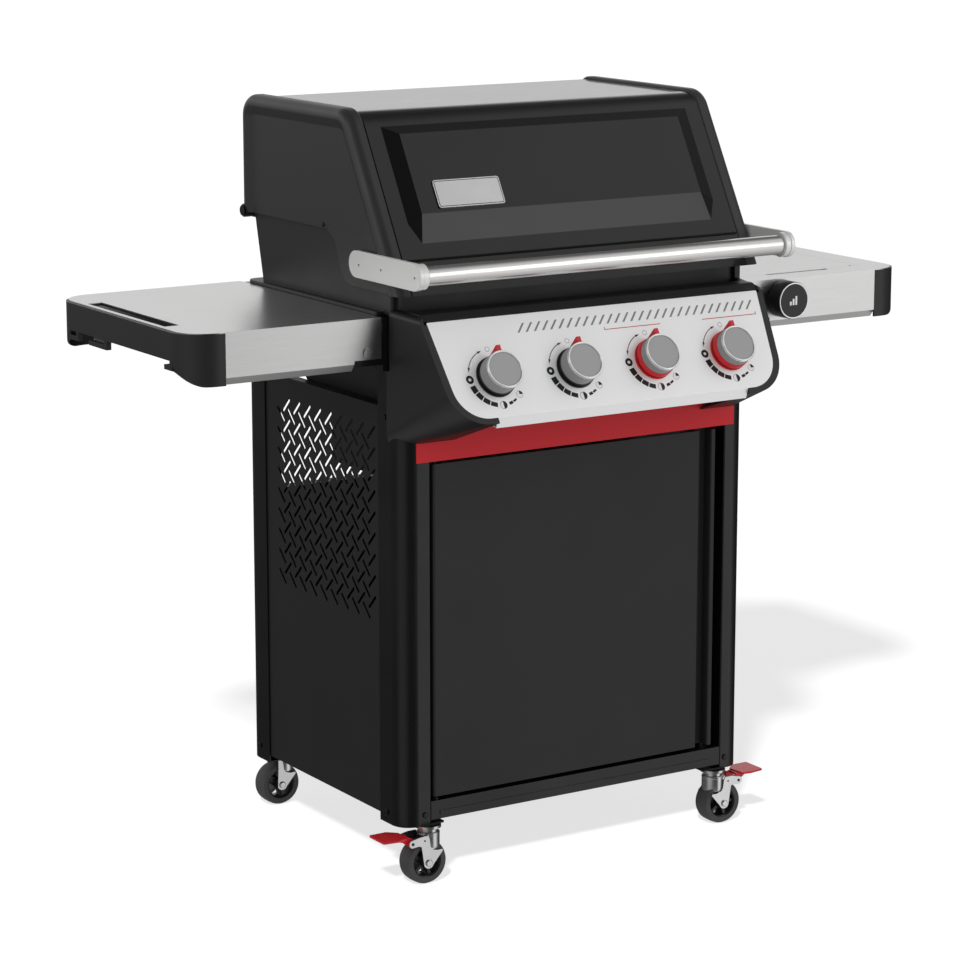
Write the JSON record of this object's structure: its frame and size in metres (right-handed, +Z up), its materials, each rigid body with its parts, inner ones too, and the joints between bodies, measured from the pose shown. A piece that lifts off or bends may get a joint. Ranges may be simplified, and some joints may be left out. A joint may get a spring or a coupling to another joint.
{
  "type": "gas barbecue grill",
  "caption": "Gas barbecue grill with a hinged lid, sloping control panel, side tables and a closed cabinet cart on swivelling casters.",
  "frame": {"origin": "on the floor, under the middle of the whole grill with its tables out and its lid shut", "axes": "+Z up, -Y towards the cook in front, +X to the right as seen from the front"},
  "size_m": [1.305, 0.6295, 1.163],
  "materials": {
    "enamel_black": "satin black enamel",
    "frame_black": "semi-gloss charcoal powder coat",
    "panel_black": "matt black powder coat",
    "door_grey": "satin dark grey powder coat",
    "fascia_red": "satin red paint",
    "face_silver": "fine metallic silver paint",
    "stainless": "brushed stainless steel",
    "bright_steel": "zinc or nickel plated",
    "screw_steel": "blackened screw heads",
    "cast_aluminium": "black cast aluminium",
    "aluminium_gas": "bare die-cast aluminium",
    "brass_gas": "bare brass",
    "cast_iron": "matt porcelain enamelled cast iron",
    "black_plastic": "fine-textured black plastic",
    "hub_grey": "grey tyre round a dark hub",
    "red_plastic": "satin red plastic",
    "knob_grey": "grey grip with a light rim",
    "ceramic": "white glazed ceramic with a steel tip",
    "dark_glass": "dark smoked window"
  },
  "bodies": {
    "cart": {"bottom_shelf": "panel_black", "cart_screws": "screw_steel", "caster_plates": "frame_black", "control_cap_left": "black_plastic", "control_cap_right": "black_plastic", "control_face": "face_silver", "control_hood": "stainless", "cookbox": "cast_aluminium", "cooking_grates": "cast_iron", "corner_posts": "frame_black", "display_housing": "bright_steel", "display_lens": "dark_glass", "door_pins_and_catch": "screw_steel", "fascia_strip": "fascia_red", "front_rail": "frame_black", "gas_manifold": "aluminium_gas", "gas_valves": "brass_gas", "grease_funnel": "enamel_black", "heat_bars": "stainless", "ignition_electrodes": "ceramic", "knob_bezels": "red_plastic", "main_burners": "stainless", "rear_panel": "panel_black", "right_table_cap": "black_plastic", "right_table_top": "stainless", "sear_burner": "stainless", "side_panel_left": "panel_black", "side_panel_right": "panel_black", "table_brackets": "black_plastic", "warming_rack": "bright_steel"},
    "lid": {"lid_shroud": "enamel_black", "lid_cap_left": "cast_aluminium", "lid_cap_right": "cast_aluminium", "handle_tube": "stainless", "handle_brackets": "cast_aluminium", "badge_plate": "bright_steel", "lid_hinge_pins": "bright_steel"},
    "door": {"door_panel": "door_grey"},
    "table_left": {"left_table_top": "stainless", "left_table_cap": "black_plastic"},
    "cover": {"drop_in_cover": "stainless"},
    "drip_pan": {"drip_pan": "aluminium_gas"},
    "stem_1": {"valve_stem_1": "brass_gas"},
    "knob_1": {"knob_1": "knob_grey"},
    "stem_2": {"valve_stem_2": "brass_gas"},
    "knob_2": {"knob_2": "knob_grey"},
    "stem_3": {"valve_stem_3": "brass_gas"},
    "knob_3": {"knob_3": "knob_grey"},
    "stem_4": {"valve_stem_4": "brass_gas"},
    "knob_4": {"knob_4": "knob_grey"},
    "fork_front_left": {"caster_fork_front_left": "bright_steel"},
    "wheel_front_left": {"caster_wheel_front_left": "hub_grey"},
    "lever_front_left": {"brake_lever_front_left": "red_plastic"},
    "fork_front_right": {"caster_fork_front_right": "bright_steel"},
    "wheel_front_right": {"caster_wheel_front_right": "hub_grey"},
    "lever_front_right": {"brake_lever_front_right": "red_plastic"},
    "fork_rear_left": {"caster_fork_rear_left": "bright_steel"},
    "wheel_rear_left": {"caster_wheel_rear_left": "hub_grey"},
    "fork_rear_right": {"caster_fork_rear_right": "bright_steel"},
    "wheel_rear_right": {"caster_wheel_rear_right": "hub_grey"}
  },
  "joints": [
    {"name": "lid_hinge", "type": "hinge", "parent": "cart", "child": "lid", "pos_m": [0, 0.269, 0.981], "axis": [-1, 0, 0], "range_deg": [0, 78]},
    {"name": "door_hinge", "type": "hinge", "parent": "cart", "child": "door", "pos_m": [-0.255, -0.174, 0.39], "axis": [0, 0, -1], "range_deg": [0, 110]},
    {"name": "table_fold", "type": "hinge", "parent": "cart", "child": "table_left", "pos_m": [-0.357, 0.0575, 0.818], "axis": [0, -1, 0], "range_deg": [0, 90]},
    {"name": "cover_lift", "type": "slide", "parent": "cart", "child": "cover", "axis": [0, 0, 1], "range_m": [0, 0.12]},
    {"name": "drip_pan_slide", "type": "slide", "parent": "cart", "child": "drip_pan", "axis": [0, 1, 0], "range_m": [0, 0.3]},
    {"name": "knob_push_1", "type": "slide", "parent": "cart", "child": "stem_1", "axis": [0, 0.8572, -0.515], "range_m": [0, 0.003], "stiffness_N_per_m": 800, "springref_m": -0.003},
    {"name": "knob_turn_1", "type": "hinge", "parent": "stem_1", "child": "knob_1", "pos_m": [-0.2106, -0.27381, 0.78643], "axis": [0, -0.8572, 0.515], "range_deg": [0, 225]},
    {"name": "knob_push_2", "type": "slide", "parent": "cart", "child": "stem_2", "axis": [0, 0.8572, -0.515], "range_m": [0, 0.003], "stiffness_N_per_m": 800, "springref_m": -0.003},
    {"name": "knob_turn_2", "type": "hinge", "parent": "stem_2", "child": "knob_2", "pos_m": [-0.0702, -0.27381, 0.78643], "axis": [0, -0.8572, 0.515], "range_deg": [0, 225]},
    {"name": "knob_push_3", "type": "slide", "parent": "cart", "child": "stem_3", "axis": [0, 0.8572, -0.515], "range_m": [0, 0.003], "stiffness_N_per_m": 800, "springref_m": -0.003},
    {"name": "knob_turn_3", "type": "hinge", "parent": "stem_3", "child": "knob_3", "pos_m": [0.0702, -0.27381, 0.78643], "axis": [0, -0.8572, 0.515], "range_deg": [0, 225]},
    {"name": "knob_push_4", "type": "slide", "parent": "cart", "child": "stem_4", "axis": [0, 0.8572, -0.515], "range_m": [0, 0.003], "stiffness_N_per_m": 800, "springref_m": -0.003},
    {"name": "knob_turn_4", "type": "hinge", "parent": "stem_4", "child": "knob_4", "pos_m": [0.2106, -0.27381, 0.78643], "axis": [0, -0.8572, 0.515], "range_deg": [0, 225]},
    {"name": "swivel_front_left", "type": "hinge", "parent": "cart", "child": "fork_front_left", "pos_m": [-0.2675, -0.1745, 0.08], "axis": [0, 0, 1], "continuous": true},
    {"name": "wheel_spin_front_left", "type": "hinge", "parent": "fork_front_left", "child": "wheel_front_left", "pos_m": [-0.2775, -0.1745, 0.0345], "axis": [0, 1, 0], "continuous": true},
    {"name": "brake_front_left", "type": "hinge", "parent": "fork_front_left", "child": "lever_front_left", "pos_m": [-0.3055, -0.1745, 0.0685], "axis": [0, -1, 0], "range_deg": [0, 15]},
    {"name": "swivel_front_right", "type": "hinge", "parent": "cart", "child": "fork_front_right", "pos_m": [0.2675, -0.1745, 0.08], "axis": [0, 0, 1], "continuous": true},
    {"name": "wheel_spin_front_right", "type": "hinge", "parent": "fork_front_right", "child": "wheel_front_right", "pos_m": [0.2775, -0.1745, 0.0345], "axis": [0, 1, 0], "continuous": true},
    {"name": "brake_front_right", "type": "hinge", "parent": "fork_front_right", "child": "lever_front_right", "pos_m": [0.3055, -0.1745, 0.0685], "axis": [0, 1, 0], "range_deg": [0, 15]},
    {"name": "swivel_rear_left", "type": "hinge", "parent": "cart", "child": "fork_rear_left", "pos_m": [-0.2625, 0.2915, 0.08], "axis": [0, 0, 1], "continuous": true},
    {"name": "wheel_spin_rear_left", "type": "hinge", "parent": "fork_rear_left", "child": "wheel_rear_left", "pos_m": [-0.2725, 0.2915, 0.0345], "axis": [0, 1, 0], "continuous": true},
    {"name": "swivel_rear_right", "type": "hinge", "parent": "cart", "child": "fork_rear_right", "pos_m": [0.2625, 0.2915, 0.08], "axis": [0, 0, 1], "continuous": true},
    {"name": "wheel_spin_rear_right", "type": "hinge", "parent": "fork_rear_right", "child": "wheel_rear_right", "pos_m": [0.2725, 0.2915, 0.0345], "axis": [0, 1, 0], "continuous": true}
  ]
}
